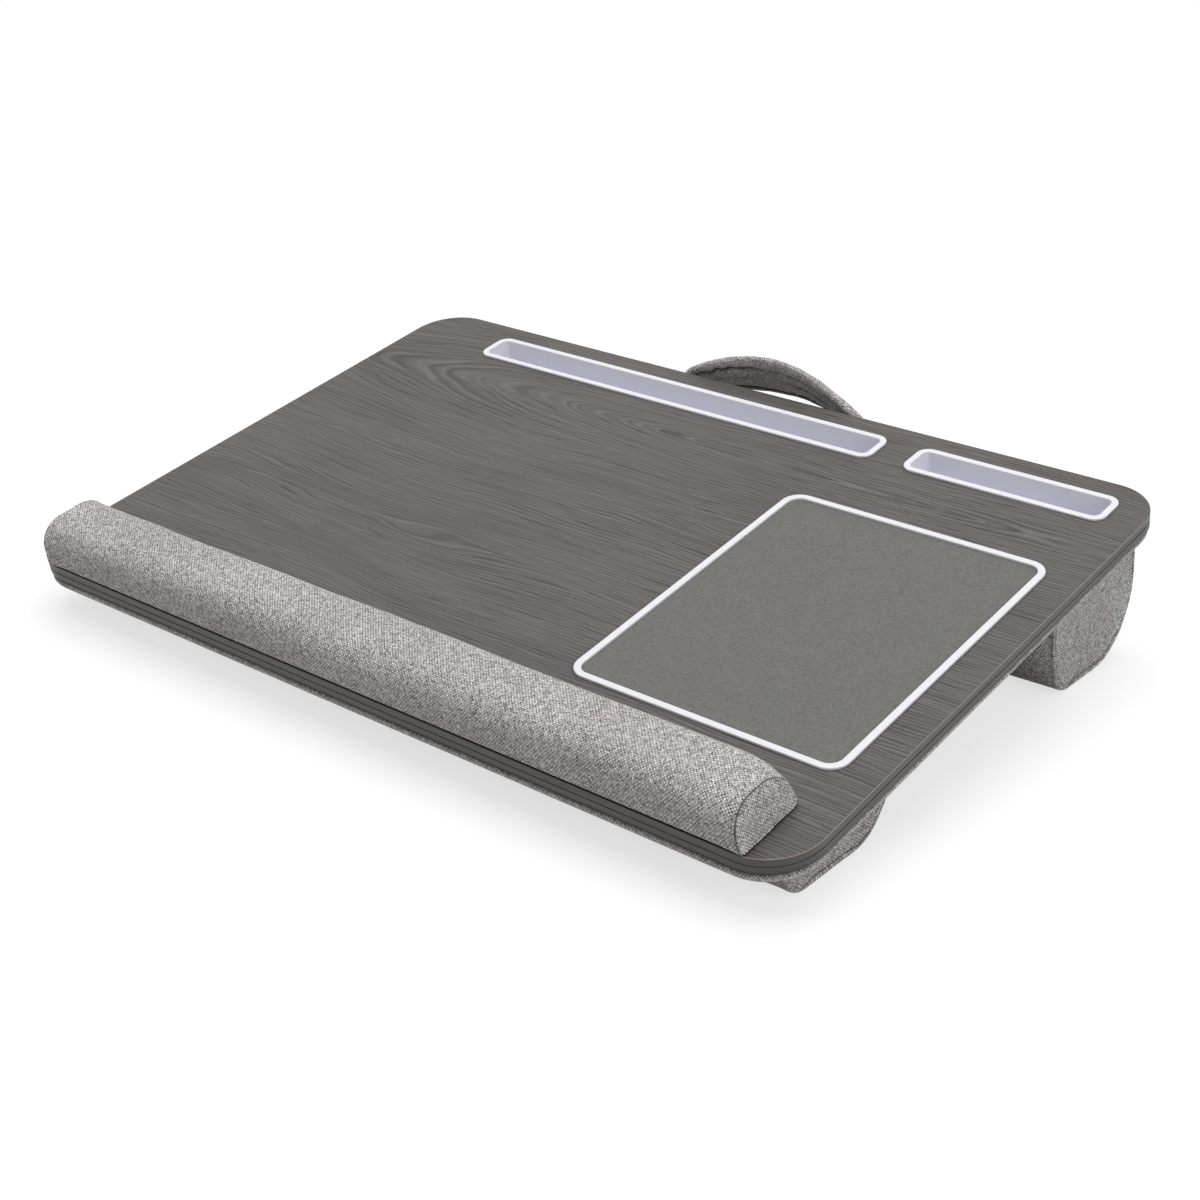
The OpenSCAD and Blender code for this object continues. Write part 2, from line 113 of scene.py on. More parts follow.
def newMaterial(name, roughness, **constants):
    material = bpy.data.materials.new(name)
    material.use_nodes = True
    shader = material.node_tree.nodes["Principled BSDF"]
    shader.inputs["Roughness"].default_value = roughness
    for key, value in constants.items():
        shader.inputs[key.replace("_", " ")].default_value = value
    return material, material.node_tree, shader


def boardMillimetres(tree):
    # the object's own place, turned into the flat desk's millimetres
    place = put(tree, "ShaderNodeTexCoord").outputs["Object"]
    back = Vector((0, deskPlace["middle"] * tiltCos - deskPlace["lift"] * tiltSin,
                   -deskPlace["middle"] * tiltSin - deskPlace["lift"] * tiltCos))
    turned = put(tree, "ShaderNodeMapping",
                 {"Vector": place, "Location": back, "Scale": (1000, 1000, 1000),
                  "Rotation": (-math.radians(deskPlace["tilt"]), 0, 0)})
    parts = put(tree, "ShaderNodeSeparateXYZ", {0: turned.outputs[0]})
    return parts.outputs[0], parts.outputs[1], parts.outputs[2]


def bumpOf(tree, shader, height, strength, distance):
    bump = put(tree, "ShaderNodeBump",
               {"Height": height, "Strength": strength, "Distance": distance})
    tree.links.new(bump.outputs[0], shader.inputs["Normal"])


def finish(tree, shader, colour, rough=None):
    tree.links.new(colour, shader.inputs["Base Color"])
    if rough is not None:
        tree.links.new(rough, shader.inputs["Roughness"])


woodLook = {"arcCentre": (15, 116), "arcLeft": 7.5, "arcRight": 32, "ringWidth": 8.5,
            "knots": [(-63, -47, 55, 13, 0.85), (-178, -52, 36, 9, 0.7),
                      (-213, 19, 26, 7, 0.6), (-125, 33, 30, 8, 0.5)],
            "light": (0.103, 0.094, 0.088), "mid": (0.079, 0.0715, 0.0665), "pitch": 2.4,
            "dark": (0.020, 0.018, 0.017), "warm": (0.095, 0.080, 0.075),
            # the first colour on the next line is a painted highlight, laid beside the embossed
            # lines
            "paintedGlintTone": (0.185, 0.177, 0.170), "cutEdge": (0.40, 0.30, 0.264),
            # the next line holds a painted shade colour for the cut side under the wrist rest, and
            # the reach of the painted contact shade
            "paintedShadeEdge": (0.03, 0.023, 0.02), "paintedShadeReach": 0.0034,
            "sway": (26.0, -18.0, 20.0, 120.0),  # at the left, its change, from where, over what
            "shares": {"rings": 0.55, "soft": 0.2, "lines": 0.8, "pores": 0.3, "paintedGlints": 0.42},
            "restReach": (251.0, -186.0), "bump": (0.8, 0.0002)}


def makeWoodLook():
    material, tree, shader = newMaterial("embossedWoodGrain", 0.5, Specular_IOR_Level=0.35)
    x, y, z = boardMillimetres(tree)
    cx, cy = woodLook["arcCentre"]
    dx = minus(tree, x, cx)
    left = divided(tree, math2(tree, "MINIMUM", dx, 0.0), woodLook["arcLeft"])
    right = divided(tree, math2(tree, "MAXIMUM", dx, 0.0), woodLook["arcRight"])
    side = math2(tree, "ADD", left, right)
    warp = noiseAt(tree, divided(tree, x, 210.0), divided(tree, y, 60.0), 2.0, detail=1.0)
    swayLeft, swayChange, swayFrom, swayOver = woodLook["sway"]
    calm = divided(tree, minus(tree, x, swayFrom), swayOver, clamp=True)
    sway = math2(tree, "MULTIPLY_ADD", calm, swayChange, swayLeft)
    warped = math2(tree, "MULTIPLY_ADD", minus(tree, warp, 0.5), sway, y)
    dy = minus(tree, warped, cy)
    field = math2(tree, "SQRT", math2(tree, "ADD", times(tree, side, side), times(tree, dy, dy)))
    for kx, ky, wide, tall, pull in woodLook["knots"]:  # grain lines part round each knot
        across = divided(tree, minus(tree, x, kx), float(wide))
        up = divided(tree, minus(tree, y, ky), float(tall))
        reach = math2(tree, "MULTIPLY_ADD", across, across, times(tree, up, up))
        fade = math2(tree, "EXPONENT", times(tree, reach, -1.0))
        push = times(tree, times(tree, up, fade), tall * pull)
        field = math2(tree, "ADD", field, push)

    def grain(long, wide, seed, detail=2.0, roughness=0.5):  # noise drawn out along the grain
        return noiseAt(tree, divided(tree, x, long), divided(tree, field, wide),
                       seed, detail=detail, roughness=roughness)

    # broad tone and growth rings
    wander = grain(70.0, 9.0, 3.0)
    rings = math2(tree, "FRACT", math2(tree, "MULTIPLY_ADD", wander, 1.3, math2(
        tree, "DIVIDE", field, woodLook["ringWidth"])))
    ringTone = ramp(tree, rings, [(0, 0.0), (0.05, 1.0), (0.14, 0.35), (0.36, 0.0), (1, 0.0)])
    ringFade = ramp(tree, grain(60.0, 18.0, 11.0), [(0.38, 0.1), (0.62, 1.0)])
    base = ramp(tree, grain(150.0, 24.0, 7.0),
                [(0.35, woodLook["mid"]), (0.65, woodLook["light"])])
    warm = noiseAt(tree, divided(tree, x, 110.0), divided(tree, y, 40.0), 21.0)
    tinted = blendOf(tree, ramp(tree, warm, [(0.45, 0.0), (0.66, 0.45)]), base,
                     (*woodLook["warm"], 1))
    # embossed lines at an even pitch, each fading in and out; clear at the right, faint elsewhere
    clear = ramp(tree, math2(tree, "MULTIPLY_ADD", x, 0.0016, grain(120.0, 40.0, 15.0)),
                 [(0.30, 0.62), (0.72, 1.0)])
    phase = math2(tree, "MULTIPLY_ADD", grain(80.0, 9.0, 25.0), 3.0,
                  divided(tree, field, woodLook["pitch"]))
    fromLine = math2(tree, "FRACT", phase)
    lineSeed = times(tree, math2(tree, "FLOOR", phase), 3.17)
    strength = ramp(tree, noiseAt(tree, divided(tree, x, 30.0), lineSeed, 6.0, detail=1.0),
                    [(0.30, 0.05), (0.58, 1.0)])
    strength = times(tree, clear, strength)
    lines = times(tree, strength, ramp(
        tree, fromLine, [(0.18, 0.0), (0.36, 1.0), (0.54, 1.0), (0.66, 0.0)]))
    # painted highlight: a light stripe beside each dark line, where the emboss would catch the
    # light
    paintedGlints = times(tree, strength, ramp(
        tree, fromLine, [(0.66, 0.0), (0.76, 1.0), (0.86, 1.0), (0.98, 0.0)]))
    streak = grain(58.0, 2.3, 5.0, detail=3.0, roughness=0.6)
    soft = ramp(tree, streak, [(0.38, 1.0), (0.54, 0.0)])
    pores = times(tree, clear, ramp(tree, grain(9.0, 0.7, 9.0, detail=1.0),
                                    [(0.33, 1.0), (0.43, 0.0)]))
    shares, colour = woodLook["shares"], tinted
    for mask, share, tone in ((times(tree, ringTone, ringFade), "rings", "dark"),
                              (soft, "soft", "dark"), (lines, "lines", "dark"),
                              (pores, "pores", "dark"), (paintedGlints, "paintedGlints", "paintedGlintTone")):
        colour = blendOf(tree, times(tree, mask, shares[share]), colour,
                         (*woodLook[tone], 1))
    # the sheet's cut side shows its brown core
    facing = put(tree, "ShaderNodeVectorMath",
                 {0: put(tree, "ShaderNodeNewGeometry").outputs["Normal"],
                  1: (0, -tiltSin, tiltCos)}, operation="DOT_PRODUCT").outputs["Value"]
    cutSide = ramp(tree, facing, [(0.4, 1.0), (0.6, 0.0)])
    # and painted shade darkens it under the wrist rest's overhang
    restHalf, restFront = woodLook["restReach"]
    underRestShade = times(tree, minus(tree, restHalf, math2(
        tree, "ABSOLUTE", x), clamp=True), minus(tree, restFront, y, clamp=True))
    coreWithShade = blendOf(tree, underRestShade, (*woodLook["cutEdge"], 1), (*woodLook["paintedShadeEdge"], 1))
    colour = blendOf(tree, cutSide, colour, coreWithShade)
    # painted shade, from an occlusion node, darkens the board where the frame, the trays and the
    # wrist rest meet it
    shelter = put(tree, "ShaderNodeAmbientOcclusion", {"Distance": woodLook["paintedShadeReach"]},
                  samples=8).outputs["AO"]
    paintedShading = ramp(tree, shelter, [(0.50, 0.02), (0.90, 1.0)])
    colour = blendOf(tree, 1.0, colour, paintedShading, "MULTIPLY")
    relief = math2(tree, "MULTIPLY_ADD", lines, -1.0, times(tree, paintedGlints, 0.5))
    bumpOf(tree, shader, relief, *woodLook["bump"])
    finish(tree, shader, colour, ramp(tree, streak, [(0.3, 0.6), (0.7, 0.42)]))
    return material


edgeLook = {"tone": (0.060, 0.057, 0.054), "bandsWithPaintedLight": [
    # height below the board's top in mm, and how light the profiled band is there, with painted
    # shade low down and a painted highlight on the groove at -4.8
    (-9.0, 0.2), (-8.4, 0.55), (-7.3, 0.9), (-6.4, 0.9), (-5.3, 1.0), (-4.8, 2.0), (-4.3, 1.0),
    (-3.2, 0.9), (-2.0, 1.1), (-0.7, 0.95)]}


def makeEdgeLook():
    material, tree, shader = newMaterial("darkEdgeBand", 0.45)
    x, y, z = boardMillimetres(tree)
    height = math2(tree, "MULTIPLY_ADD", z, 0.1, 1.0)
    bandsWithPaintedLight = ramp(tree, height, [(1 + place / 10, light / 2) for place, light in edgeLook["bandsWithPaintedLight"]])
    along = divided(tree, math2(tree, "ADD", x, y), 90.0)
    lines = noiseAt(tree, along, times(tree, z, 0.9), 0.0, detail=2.0)
    streaked = blendOf(tree, 1.0, bandsWithPaintedLight, ramp(tree, lines, [(0.3, 0.85), (0.7, 1.15)]), "MULTIPLY")
    twice = [2 * v for v in edgeLook["tone"]]
    colour = blendOf(tree, 1.0, streaked, (*twice, 1), "MULTIPLY")
    finish(tree, shader, colour, ramp(tree, lines, [(0.3, 0.5), (0.7, 0.38)]))
    bumpOf(tree, shader, lines, 0.25, 0.0001)
    return material


# the deep colour is painted shade, darker and more lilac, for down inside the trays
plasticLook = {"colour": (0.725, 0.725, 0.76), "deep": (0.70, 0.69, 0.78)}


def makePlasticLook():
    # white moulding with painted shade: a little darker and more lilac down inside the trays
    material, tree, shader = newMaterial("whiteMouldedPlastic", 0.3, Coat_Weight=0.12)
    x, y, z = boardMillimetres(tree)
    grain = noiseAt(tree, x, y, z, scale=2.6, detail=2.0)
    cloud = noiseAt(tree, x, y, z, scale=0.02)
    trayShadeDepth = math2(tree, "MULTIPLY_ADD", z, 0.05, math2(tree, "MULTIPLY_ADD", cloud, 0.06, 0.97))
    finish(tree, shader, ramp(tree, trayShadeDepth, [(0.25, plasticLook["deep"]),
                                            (0.97, plasticLook["colour"])]),
           ramp(tree, grain, [(0.3, 0.26), (0.7, 0.36)]))
    bumpOf(tree, shader, grain, 0.12, 0.00003)
    return material


leatherLook = {"colour": (0.112, 0.111, 0.103), "crease": (0.083, 0.082, 0.075),
               "cloud": (0.152, 0.147, 0.140), "pebble": 1.25}


def makeLeatherLook():
    material, tree, shader = newMaterial("greenGreyLeather", 0.5, Specular_IOR_Level=0.45)
    x, y, z = boardMillimetres(tree)
    wobble = noiseAt(tree, x, y, 0.0, scale=0.35, detail=3.0)
    bent = math2(tree, "MULTIPLY_ADD", wobble, 1.6, x)
    spot = put(tree, "ShaderNodeCombineXYZ", {0: bent, 1: y, 2: 0.0}).outputs[0]
    cells = put(tree, "ShaderNodeTexVoronoi",
                {"Vector": spot, "Scale": 1 / leatherLook["pebble"], "Smoothness": 0.4},
                feature="SMOOTH_F1").outputs["Distance"]
    fine = noiseAt(tree, x, y, 0.0, scale=2.2, detail=3.0)
    height = math2(tree, "MULTIPLY_ADD", fine, 0.35, minus(tree, 1.0, cells))
    cloud = noiseAt(tree, x, y, 4.0, scale=0.03)
    tone = ramp(tree, height, [(0.45, leatherLook["crease"]), (0.95, leatherLook["colour"])])
    finish(tree, shader, blendOf(tree, times(tree, cloud, 0.12), tone,
                                 (*leatherLook["cloud"], 1)),
           ramp(tree, height, [(0.4, 0.62), (1.0, 0.46)]))
    bumpOf(tree, shader, height, 0.45, 0.00025)
    return material


fabricLook = {"thread": 1.0, "warp": [(0.26, (0.27, 0.26, 0.255)), (0.42, (0.54, 0.525, 0.52)),
                                      (0.60, (0.77, 0.755, 0.75)), (0.74, (0.98, 0.97, 0.965))],
              "weft": [(0.28, (0.10, 0.092, 0.091)), (0.44, (0.275, 0.26, 0.257)),
                       (0.60, (0.45, 0.432, 0.428)), (0.74, (0.72, 0.705, 0.70))],
              # after the rosy tint come a painted shade colour and a painted light colour, laid on
              # where the mesh is marked
              "rosy": (0.95, 0.90, 0.905), "paintedShadeAndLight": (0.03, 0.025, 0.024),
              "paintedLitTone": (0.60, 0.595, 0.58)}


def makeFabricLook():
    # plain weave of melange threads, laid out in millimetres by the "weave" map
    material, tree, shader = newMaterial("greyMelangeWeave", 0.88, Sheen_Weight=0.1,
                                         Sheen_Roughness=0.5, Specular_IOR_Level=0.2)
    spot = put(tree, "ShaderNodeUVMap", uv_map="weave").outputs[0]
    parts = put(tree, "ShaderNodeSeparateXYZ", {0: spot})
    size = fabricLook["thread"]
    u = divided(tree, parts.outputs[0], size)
    v = divided(tree, parts.outputs[1], size)
    # threads wander a little
    u = math2(tree, "ADD", u, noiseAt(tree, u, v, 1.0, scale=0.09, detail=2.0))
    v = math2(tree, "ADD", v, noiseAt(tree, u, v, 5.0, scale=0.09, detail=2.0))
    uCell, vCell = math2(tree, "FLOOR", u), math2(tree, "FLOOR", v)
    uIn = math2(tree, "MULTIPLY_ADD", math2(tree, "FRACT", u), 2.0, -1.0)
    vIn = math2(tree, "MULTIPLY_ADD", math2(tree, "FRACT", v), 2.0, -1.0)
    over = math2(tree, "ABSOLUTE", math2(tree, "MODULO", math2(tree, "ADD", uCell, vCell), 2.0))
    uu, vv = times(tree, uIn, uIn), times(tree, vIn, vIn)

    def dome(across, along):
        fall = math2(tree, "MULTIPLY_ADD", along, 0.45, times(tree, across, 0.85))
        return minus(tree, 1.0, fall, clamp=True)

    cell = put(tree, "ShaderNodeCombineXYZ", {0: uCell, 1: vCell, 2: 0.0}).outputs[0]
    speck = put(tree, "ShaderNodeTexWhiteNoise", {"Vector": cell}).outputs["Value"]

    def tone(thread, along, seed):  # threads change shade along their length and at each crossing
        slub = noiseAt(tree, times(tree, thread, 3.7), times(tree, along, 0.32), seed)
        return math2(tree, "MULTIPLY_ADD", speck, 0.32, times(tree, slub, 0.68))

    warpTone = ramp(tree, tone(uCell, v, 3.0), fabricLook["warp"])
    weftTone = ramp(tree, tone(vCell, u, 13.0), fabricLook["weft"])
    height = put(tree, "ShaderNodeMix", {0: over, 2: dome(vv, uu), 3: dome(uu, vv)}).outputs[0]
    threads = blendOf(tree, over, weftTone, warpTone)
    # painted shade in the gaps between threads, darker where the threads dip
    gapShade = ramp(tree, height, [(0.0, 0.35), (0.6, 1.0)])
    patch = noiseAt(tree, u, v, 31.0, scale=0.022, detail=2.0)
    rosy = blendOf(tree, ramp(tree, patch, [(0.42, 0.0), (0.62, 0.8)]), (1, 1, 1, 1),
                   (*fabricLook["rosy"], 1))
    colour = blendOf(tree, 1.0, blendOf(tree, 1.0, threads, gapShade, "MULTIPLY"), rosy, "MULTIPLY")
    # painted shade is marked on the mesh at seams, folds and under the edge band, and painted
    # light below zero
    paintedShadeAndLight = put(tree, "ShaderNodeAttribute", attribute_name="paintedShadeAndLight").outputs["Fac"]
    colour = blendOf(tree, times(tree, paintedShadeAndLight, -1.0, clamp=True), colour,
                     (*fabricLook["paintedLitTone"], 1))
    colour = blendOf(tree, times(tree, paintedShadeAndLight, 0.92, clamp=True), colour,
                     (*fabricLook["paintedShadeAndLight"], 1))
    finish(tree, shader, colour)
    bumpOf(tree, shader, height, 0.8, 0.0003)
    return material


plainLooks = {  # name: colour, darker speck, speck size in mm, roughness
    "rawFibreboard": ((0.36, 0.27, 0.18), (0.24, 0.17, 0.11), 0.9, 0.85),
    "balancingSheet": ((0.10, 0.095, 0.09), (0.07, 0.065, 0.06), 1.5, 0.6),
    "openCellFoam": ((0.70, 0.66, 0.54), (0.52, 0.48, 0.38), 0.7, 0.95),
    "looseFilling": ((0.82, 0.80, 0.76), (0.66, 0.64, 0.60), 2.5, 0.95),
    "thinHardboard": ((0.30, 0.20, 0.12), (0.20, 0.13, 0.08), 0.6, 0.8),
    "stickyTape": ((0.78, 0.78, 0.74), (0.70, 0.70, 0.66), 3.0, 0.4),
    "stapleWire": ((0.62, 0.63, 0.65), (0.45, 0.46, 0.48), 0.4, 0.3)}


def makePlainLook(name):
    colour, speck, size, roughness = plainLooks[name]
    metal = 1.0 if name == "stapleWire" else 0.0
    material, tree, shader = newMaterial(name, roughness, Metallic=metal)
    x, y, z = boardMillimetres(tree)
    specks = noiseAt(tree, x, y, z, scale=1 / size, detail=3.0)
    finish(tree, shader, ramp(tree, specks, [(0.35, speck), (0.6, colour)]))
    bumpOf(tree, shader, specks, 0.3, 0.0002)
    return material


looks = {"embossedWoodGrain": makeWoodLook(), "darkEdgeBand": makeEdgeLook(),
         "whiteMouldedPlastic": makePlasticLook(), "greenGreyLeather": makeLeatherLook(),
         "greyMelangeWeave": makeFabricLook()}
looks.update((name, makePlainLook(name)) for name in plainLooks)

cadLooks = {"desk_board": "rawFibreboard", "wood_laminate": "embossedWoodGrain",
            "backing_sheet": "balancingSheet", "edge_band": "darkEdgeBand",
            "device_slot_tray": "whiteMouldedPlastic", "pen_slot_tray": "whiteMouldedPlastic",
            "mouse_pad_frame": "whiteMouldedPlastic", "mouse_pad_leather": "greenGreyLeather",
            "mouse_pad_foam": "openCellFoam", "wrist_rest_foam": "openCellFoam",
            "wrist_rest_strip": "thinHardboard", "wrist_rest_tape": "stickyTape",
            "base_foam": "openCellFoam", "base_board": "thinHardboard", "base_tape": "stickyTape",
            "base_staples": "stapleWire", "front_cushion_filling": "looseFilling",
            "rear_cushion_filling": "looseFilling", "handle_padding": "openCellFoam"}
for nodeName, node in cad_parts.items():
    look = looks[cadLooks.get(nodeName, "greyMelangeWeave")]
    for place in node.material_slots:
        place.material = look
print("finishes are on the board, the trays and the mouse pad")


def outlineOf(corners, steps=12):
    # closed outline from corners (y, z, radius), with the index of each corner's middle point
    points, middles = [], []
    for i, (y, z, radius) in enumerate(corners):
        here = Vector((y, z))
        before = (Vector(corners[i - 1][:2]) - here)
        after = (Vector(corners[(i + 1) % len(corners)][:2]) - here)
        if radius <= 0:
            middles.append(len(points))
            points.append(here)
            continue
        half = before.angle(after) / 2
        radius = min(radius, before.length * 0.98 * math.tan(half),
                     after.length * 0.98 * math.tan(half))
        centre = here + (before.normalized() + after.normalized()).normalized() * (
            radius / math.sin(half))
        start = here + before.normalized() * (radius / math.tan(half)) - centre
        end = here + after.normalized() * (radius / math.tan(half)) - centre
        turn = start.angle_signed(end)
        middles.append(len(points) + steps // 2)
        for k in range(steps + 1):
            arm = start.copy()
            arm.rotate(Matrix.Rotation(-turn * k / steps, 2))
            points.append(centre + arm)
    return points, middles


def spaced(points, count):
    # the same line with count + 1 points at even steps
    lengths = [0.0]
    for a, b in zip(points, points[1:]):
        lengths.append(lengths[-1] + (b - a).length)
    result, k = [], 0
    for i in range(count + 1):
        target = lengths[-1] * i / count
        while k < len(points) - 2 and lengths[k + 1] < target:
            k += 1
        span = lengths[k + 1] - lengths[k]
        share = 0 if span == 0 else (target - lengths[k]) / span
        result.append(points[k].lerp(points[k + 1], share))
    return result


def quadUv(u0, u1, v0, v1):
    return [(u0, v0), (u1, v0), (u1, v1), (u0, v1)]


def newPiece(name, vertices, faces, faceUvs, shadeAndLightMarks=None):
    mesh = bpy.data.meshes.new(name)
    mesh.from_pydata(vertices, [], faces)
    layer = mesh.uv_layers.new(name="weave")
    flat = [value for face in faceUvs for corner in face for value in corner]
    layer.data.foreach_set("uv", flat)
    # per-point painted shade, with painted light below zero, for the fabric
    shadeAndLightLayer = mesh.attributes.new("paintedShadeAndLight", "FLOAT", "POINT")
    shadeAndLightLayer.data.foreach_set("value", shadeAndLightMarks or [0.0] * len(vertices))
    mesh.polygons.foreach_set("use_smooth", [True] * len(faces))
    mesh.materials.append(looks["greyMelangeWeave"])
    mesh.update()
    piece = bpy.data.objects.new(name, mesh)
    scene.collection.objects.link(piece)
    return piece


def applyModifier(piece, kind, **settings):
    modifier = piece.modifiers.new(kind.lower(), kind)
    for key, value in settings.items():
        setattr(modifier, key, value)
    graph = bpy.context.evaluated_depsgraph_get()
    mesh = bpy.data.meshes.new_from_object(piece.evaluated_get(graph), depsgraph=graph)
    piece.modifiers.clear()
    old = piece.data
    piece.data = mesh
    mesh.name = piece.name
    bpy.data.meshes.remove(old)


stuffingKit = {"quality": 5, "mass": 0.3, "stiffness": 20, "bending": 0.8, "steps": 20,
               "inward": 0.9}  # how much of an inward step is taken back


def inflate(piece, held, cap, pressure):
    # stuffs the piece with air pressure, and lets no point move further than cap
    start = [v.co.copy() for v in piece.data.vertices]
    normals = [v.normal.copy() for v in piece.data.vertices]
    piece.vertex_groups.new(name="held").add(held, 1.0, "REPLACE")
    cloth = piece.modifiers.new("stuffing", "CLOTH")
    settings = cloth.settings
    settings.quality = stuffingKit["quality"]
    settings.mass = stuffingKit["mass"]
    settings.tension_stiffness = settings.compression_stiffness = stuffingKit["stiffness"]
    settings.bending_stiffness = stuffingKit["bending"]
    settings.use_pressure = True
    settings.uniform_pressure_force = pressure
    settings.vertex_group_mass = "held"
    settings.effector_weights.gravity = 0
    cloth.point_cache.frame_start, cloth.point_cache.frame_end = 1, stuffingKit["steps"]
    for count in range(1, stuffingKit["steps"] + 1):
        scene.frame_set(count)
    graph = bpy.context.evaluated_depsgraph_get()
    moved = [v.co.copy() for v in piece.evaluated_get(graph).data.vertices]
    piece.modifiers.clear()
    piece.vertex_groups.clear()
    scene.frame_set(1)
    for vertex, old, new, normal in zip(piece.data.vertices, start, moved, normals):
        step = new - old
        step -= normal * stuffingKit["inward"] * min(0.0, step.dot(normal))
        if step.length > cap:
            step *= cap / step.length
        vertex.co = old + step
    piece.data.update()


cushionSet = {
    "front": {"front": -169.0, "rear": -79.0, "frontRound": (8, 15), "rearRound": 36, "half": 262,
              "slack": 1.0, "cap": 0.002, "sag": 0.35, "endRound": 3.0, "bulge": 2.0},
    "rear": {"front": 84.5, "rear": 179.0, "frontRound": (15, 18), "rearRound": 41, "half": 262,
             "slack": 1.0, "cap": 0.002, "sag": 0.35, "endRound": 2.4, "bulge": 0.0},
    "under": -14.4, "floorFront": -37.4, "floorFrom": -169.0, "step": 6.0, "pressure": 4.0,
    "endFrom": 190, "endBlend": 24, "endAbove": 0.25, "stations": 76, "footGap": 0.0002}


def cushionFloor(y):
    slope = math.tan(math.radians(deskPlace["tilt"]))
    return cushionSet["floorFront"] - (y - cushionSet["floorFrom"]) * slope


def walk(line):
    # length walked along a line at each of its points
    lengths = [0.0]
    for a, b in zip(line, line[1:]):
        lengths.append(lengths[-1] + (b - a).length)
    return lengths


def cushionRing(kit, x, inset, tall, deep):
    # side outline of the cushion: down the front, along the floor, up the rear and back
    under = cushionSet["under"]
    endFrom = cushionSet["endFrom"]
    nearEnd = min(1, max(0, (abs(x) - endFrom) / (kit["half"] - endFrom)))
    nearEnd = nearEnd * nearEnd * (3 - 2 * nearEnd)
    middleRound, endRound = kit["frontRound"]
    frontRound = middleRound + (endRound - middleRound) * nearEnd
    y0 = kit["front"] + kit["slack"] * 0.5 + inset - kit["bulge"] * (1 - nearEnd)
    y1 = kit["rear"] - kit["slack"] * 0.5 - inset
    corners = [(y0, under, 0), (y0, cushionFloor(y0) + 0.3 + inset, frontRound),
               (y1, cushionFloor(y1) + 0.3 + inset, kit["rearRound"]), (y1, under, 0)]
    points, mids = outlineOf(corners)
    low, high = mids[1], mids[2]
    return (spaced(points[:low + 1], tall)[:-1] + spaced(points[low:high + 1], deep)[:-1]
            + spaced(points[high:], tall)[:-1] + spaced([points[-1], points[0]], deep)[:-1])


def cushionSlice(kit, x, inset, tall, deep):
    # the ends are rounded off low down and square where they meet the base
    full = cushionRing(kit, x, inset * cushionSet["endAbove"], tall, deep)
    low = cushionRing(kit, x, inset, tall, deep)
    blend = [min(1, max(0, (cushionSet["under"] - p.y) / cushionSet["endBlend"])) for p in full]
    return [a.lerp(b, t) for a, b, t in zip(full, low, blend)]


def makeCushion(name, kit):
    under, step = cushionSet["under"], cushionSet["step"]
    tall = round((kit["front"] - kit["rear"]) / -step / 2.6)
    deep = round((kit["rear"] - kit["front"]) / step)
    half = kit["half"] - kit["slack"] * 0.4
    bend = kit["endRound"]
    flatHalf = half - bend
    # stations along the cushion, with a rounded turn on to each end panel
    turns = [math.radians(angle) for angle in (18, 36, 54, 72, 90)]
    count = cushionSet["stations"]
    plain = [flatHalf * (2 * i / count - 1) for i in range(count + 1)]
    stations = ([(-flatHalf - bend * math.sin(a), bend * (1 - math.cos(a))) for a in turns[::-1]]
                + [(x, 0.0) for x in plain]
                + [(flatHalf + bend * math.sin(a), bend * (1 - math.cos(a))) for a in turns])
    rings = [cushionSlice(kit, x, inset, tall, deep) for x, inset in stations]
    around = len(rings[0])
    vertices = [onDesk(x, p.x, p.y) for (x, inset), ring in zip(stations, rings) for p in ring]
    alongX = walk([Vector(station) for station in stations])
    lengths = walk(rings[8] + rings[8][:1])
    faces, uvs = [], []
    for i in range(len(stations) - 1):
        for k in range(around):
            a, b = i * around + k, i * around + (k + 1) % around
            faces.append((a, b, b + around, a + around))
            uvs.append(quadUv(lengths[k], lengths[k + 1], alongX[i], alongX[i + 1]))
    # each end panel is a patch between the last ring's four sides
    for end in (0, len(stations) - 1):
        x, base, ring = stations[end][0], end * around, rings[end]
        grid = {}
        for j in range(tall + 1):
            for k in range(deep + 1):
                s, t = k / deep, j / tall
                if j == tall:
                    grid[j, k] = base + tall + k
                elif j == 0:
                    grid[j, k] = base + (2 * tall + deep + deep - k) % around
                elif k == 0:
                    grid[j, k] = base + j
                elif k == deep:
                    grid[j, k] = base + 2 * tall + deep - j
                else:
                    top = ring[(2 * tall + 2 * deep - k) % around]
                    low = ring[tall + k]
                    west, east = ring[j], ring[2 * tall + deep - j]
                    spot = (top.lerp(low, t) + west.lerp(east, s)
                            - ring[0].lerp(ring[2 * tall + deep], s).lerp(
                                ring[tall].lerp(ring[tall + deep], s), t))
                    grid[j, k] = len(vertices)
                    vertices.append(onDesk(x, spot.x, spot.y))
        for j in range(tall):
            for k in range(deep):
                face = [grid[j, k], grid[j + 1, k], grid[j + 1, k + 1], grid[j, k + 1]]
                if end:
                    face.reverse()
                faces.append(face)
                uvs.append([fabricSpot(vertices[n]) for n in face])
    piece = newPiece(name, vertices, faces, uvs)
    held = [n for n, v in enumerate(vertices) if deskHeight(v) > under - 0.5]
    inflate(piece, held, kit["cap"], cushionSet["pressure"])
    applyModifier(piece, "SUBSURF", levels=2, render_levels=2)
    shapeCushion(piece, kit)
    return piece


def deskHeight(p):
    return (-(p.y * 1000 + deskPlace["middle"]) * tiltSin
            + (p.z * 1000 - deskPlace["lift"]) * tiltCos)


def deskDepth(p):
    return ((p.y * 1000 + deskPlace["middle"]) * tiltCos
            + (p.z * 1000 - deskPlace["lift"]) * tiltSin)


def fabricSpot(p):
    return (deskDepth(p) + 1000, deskHeight(p))


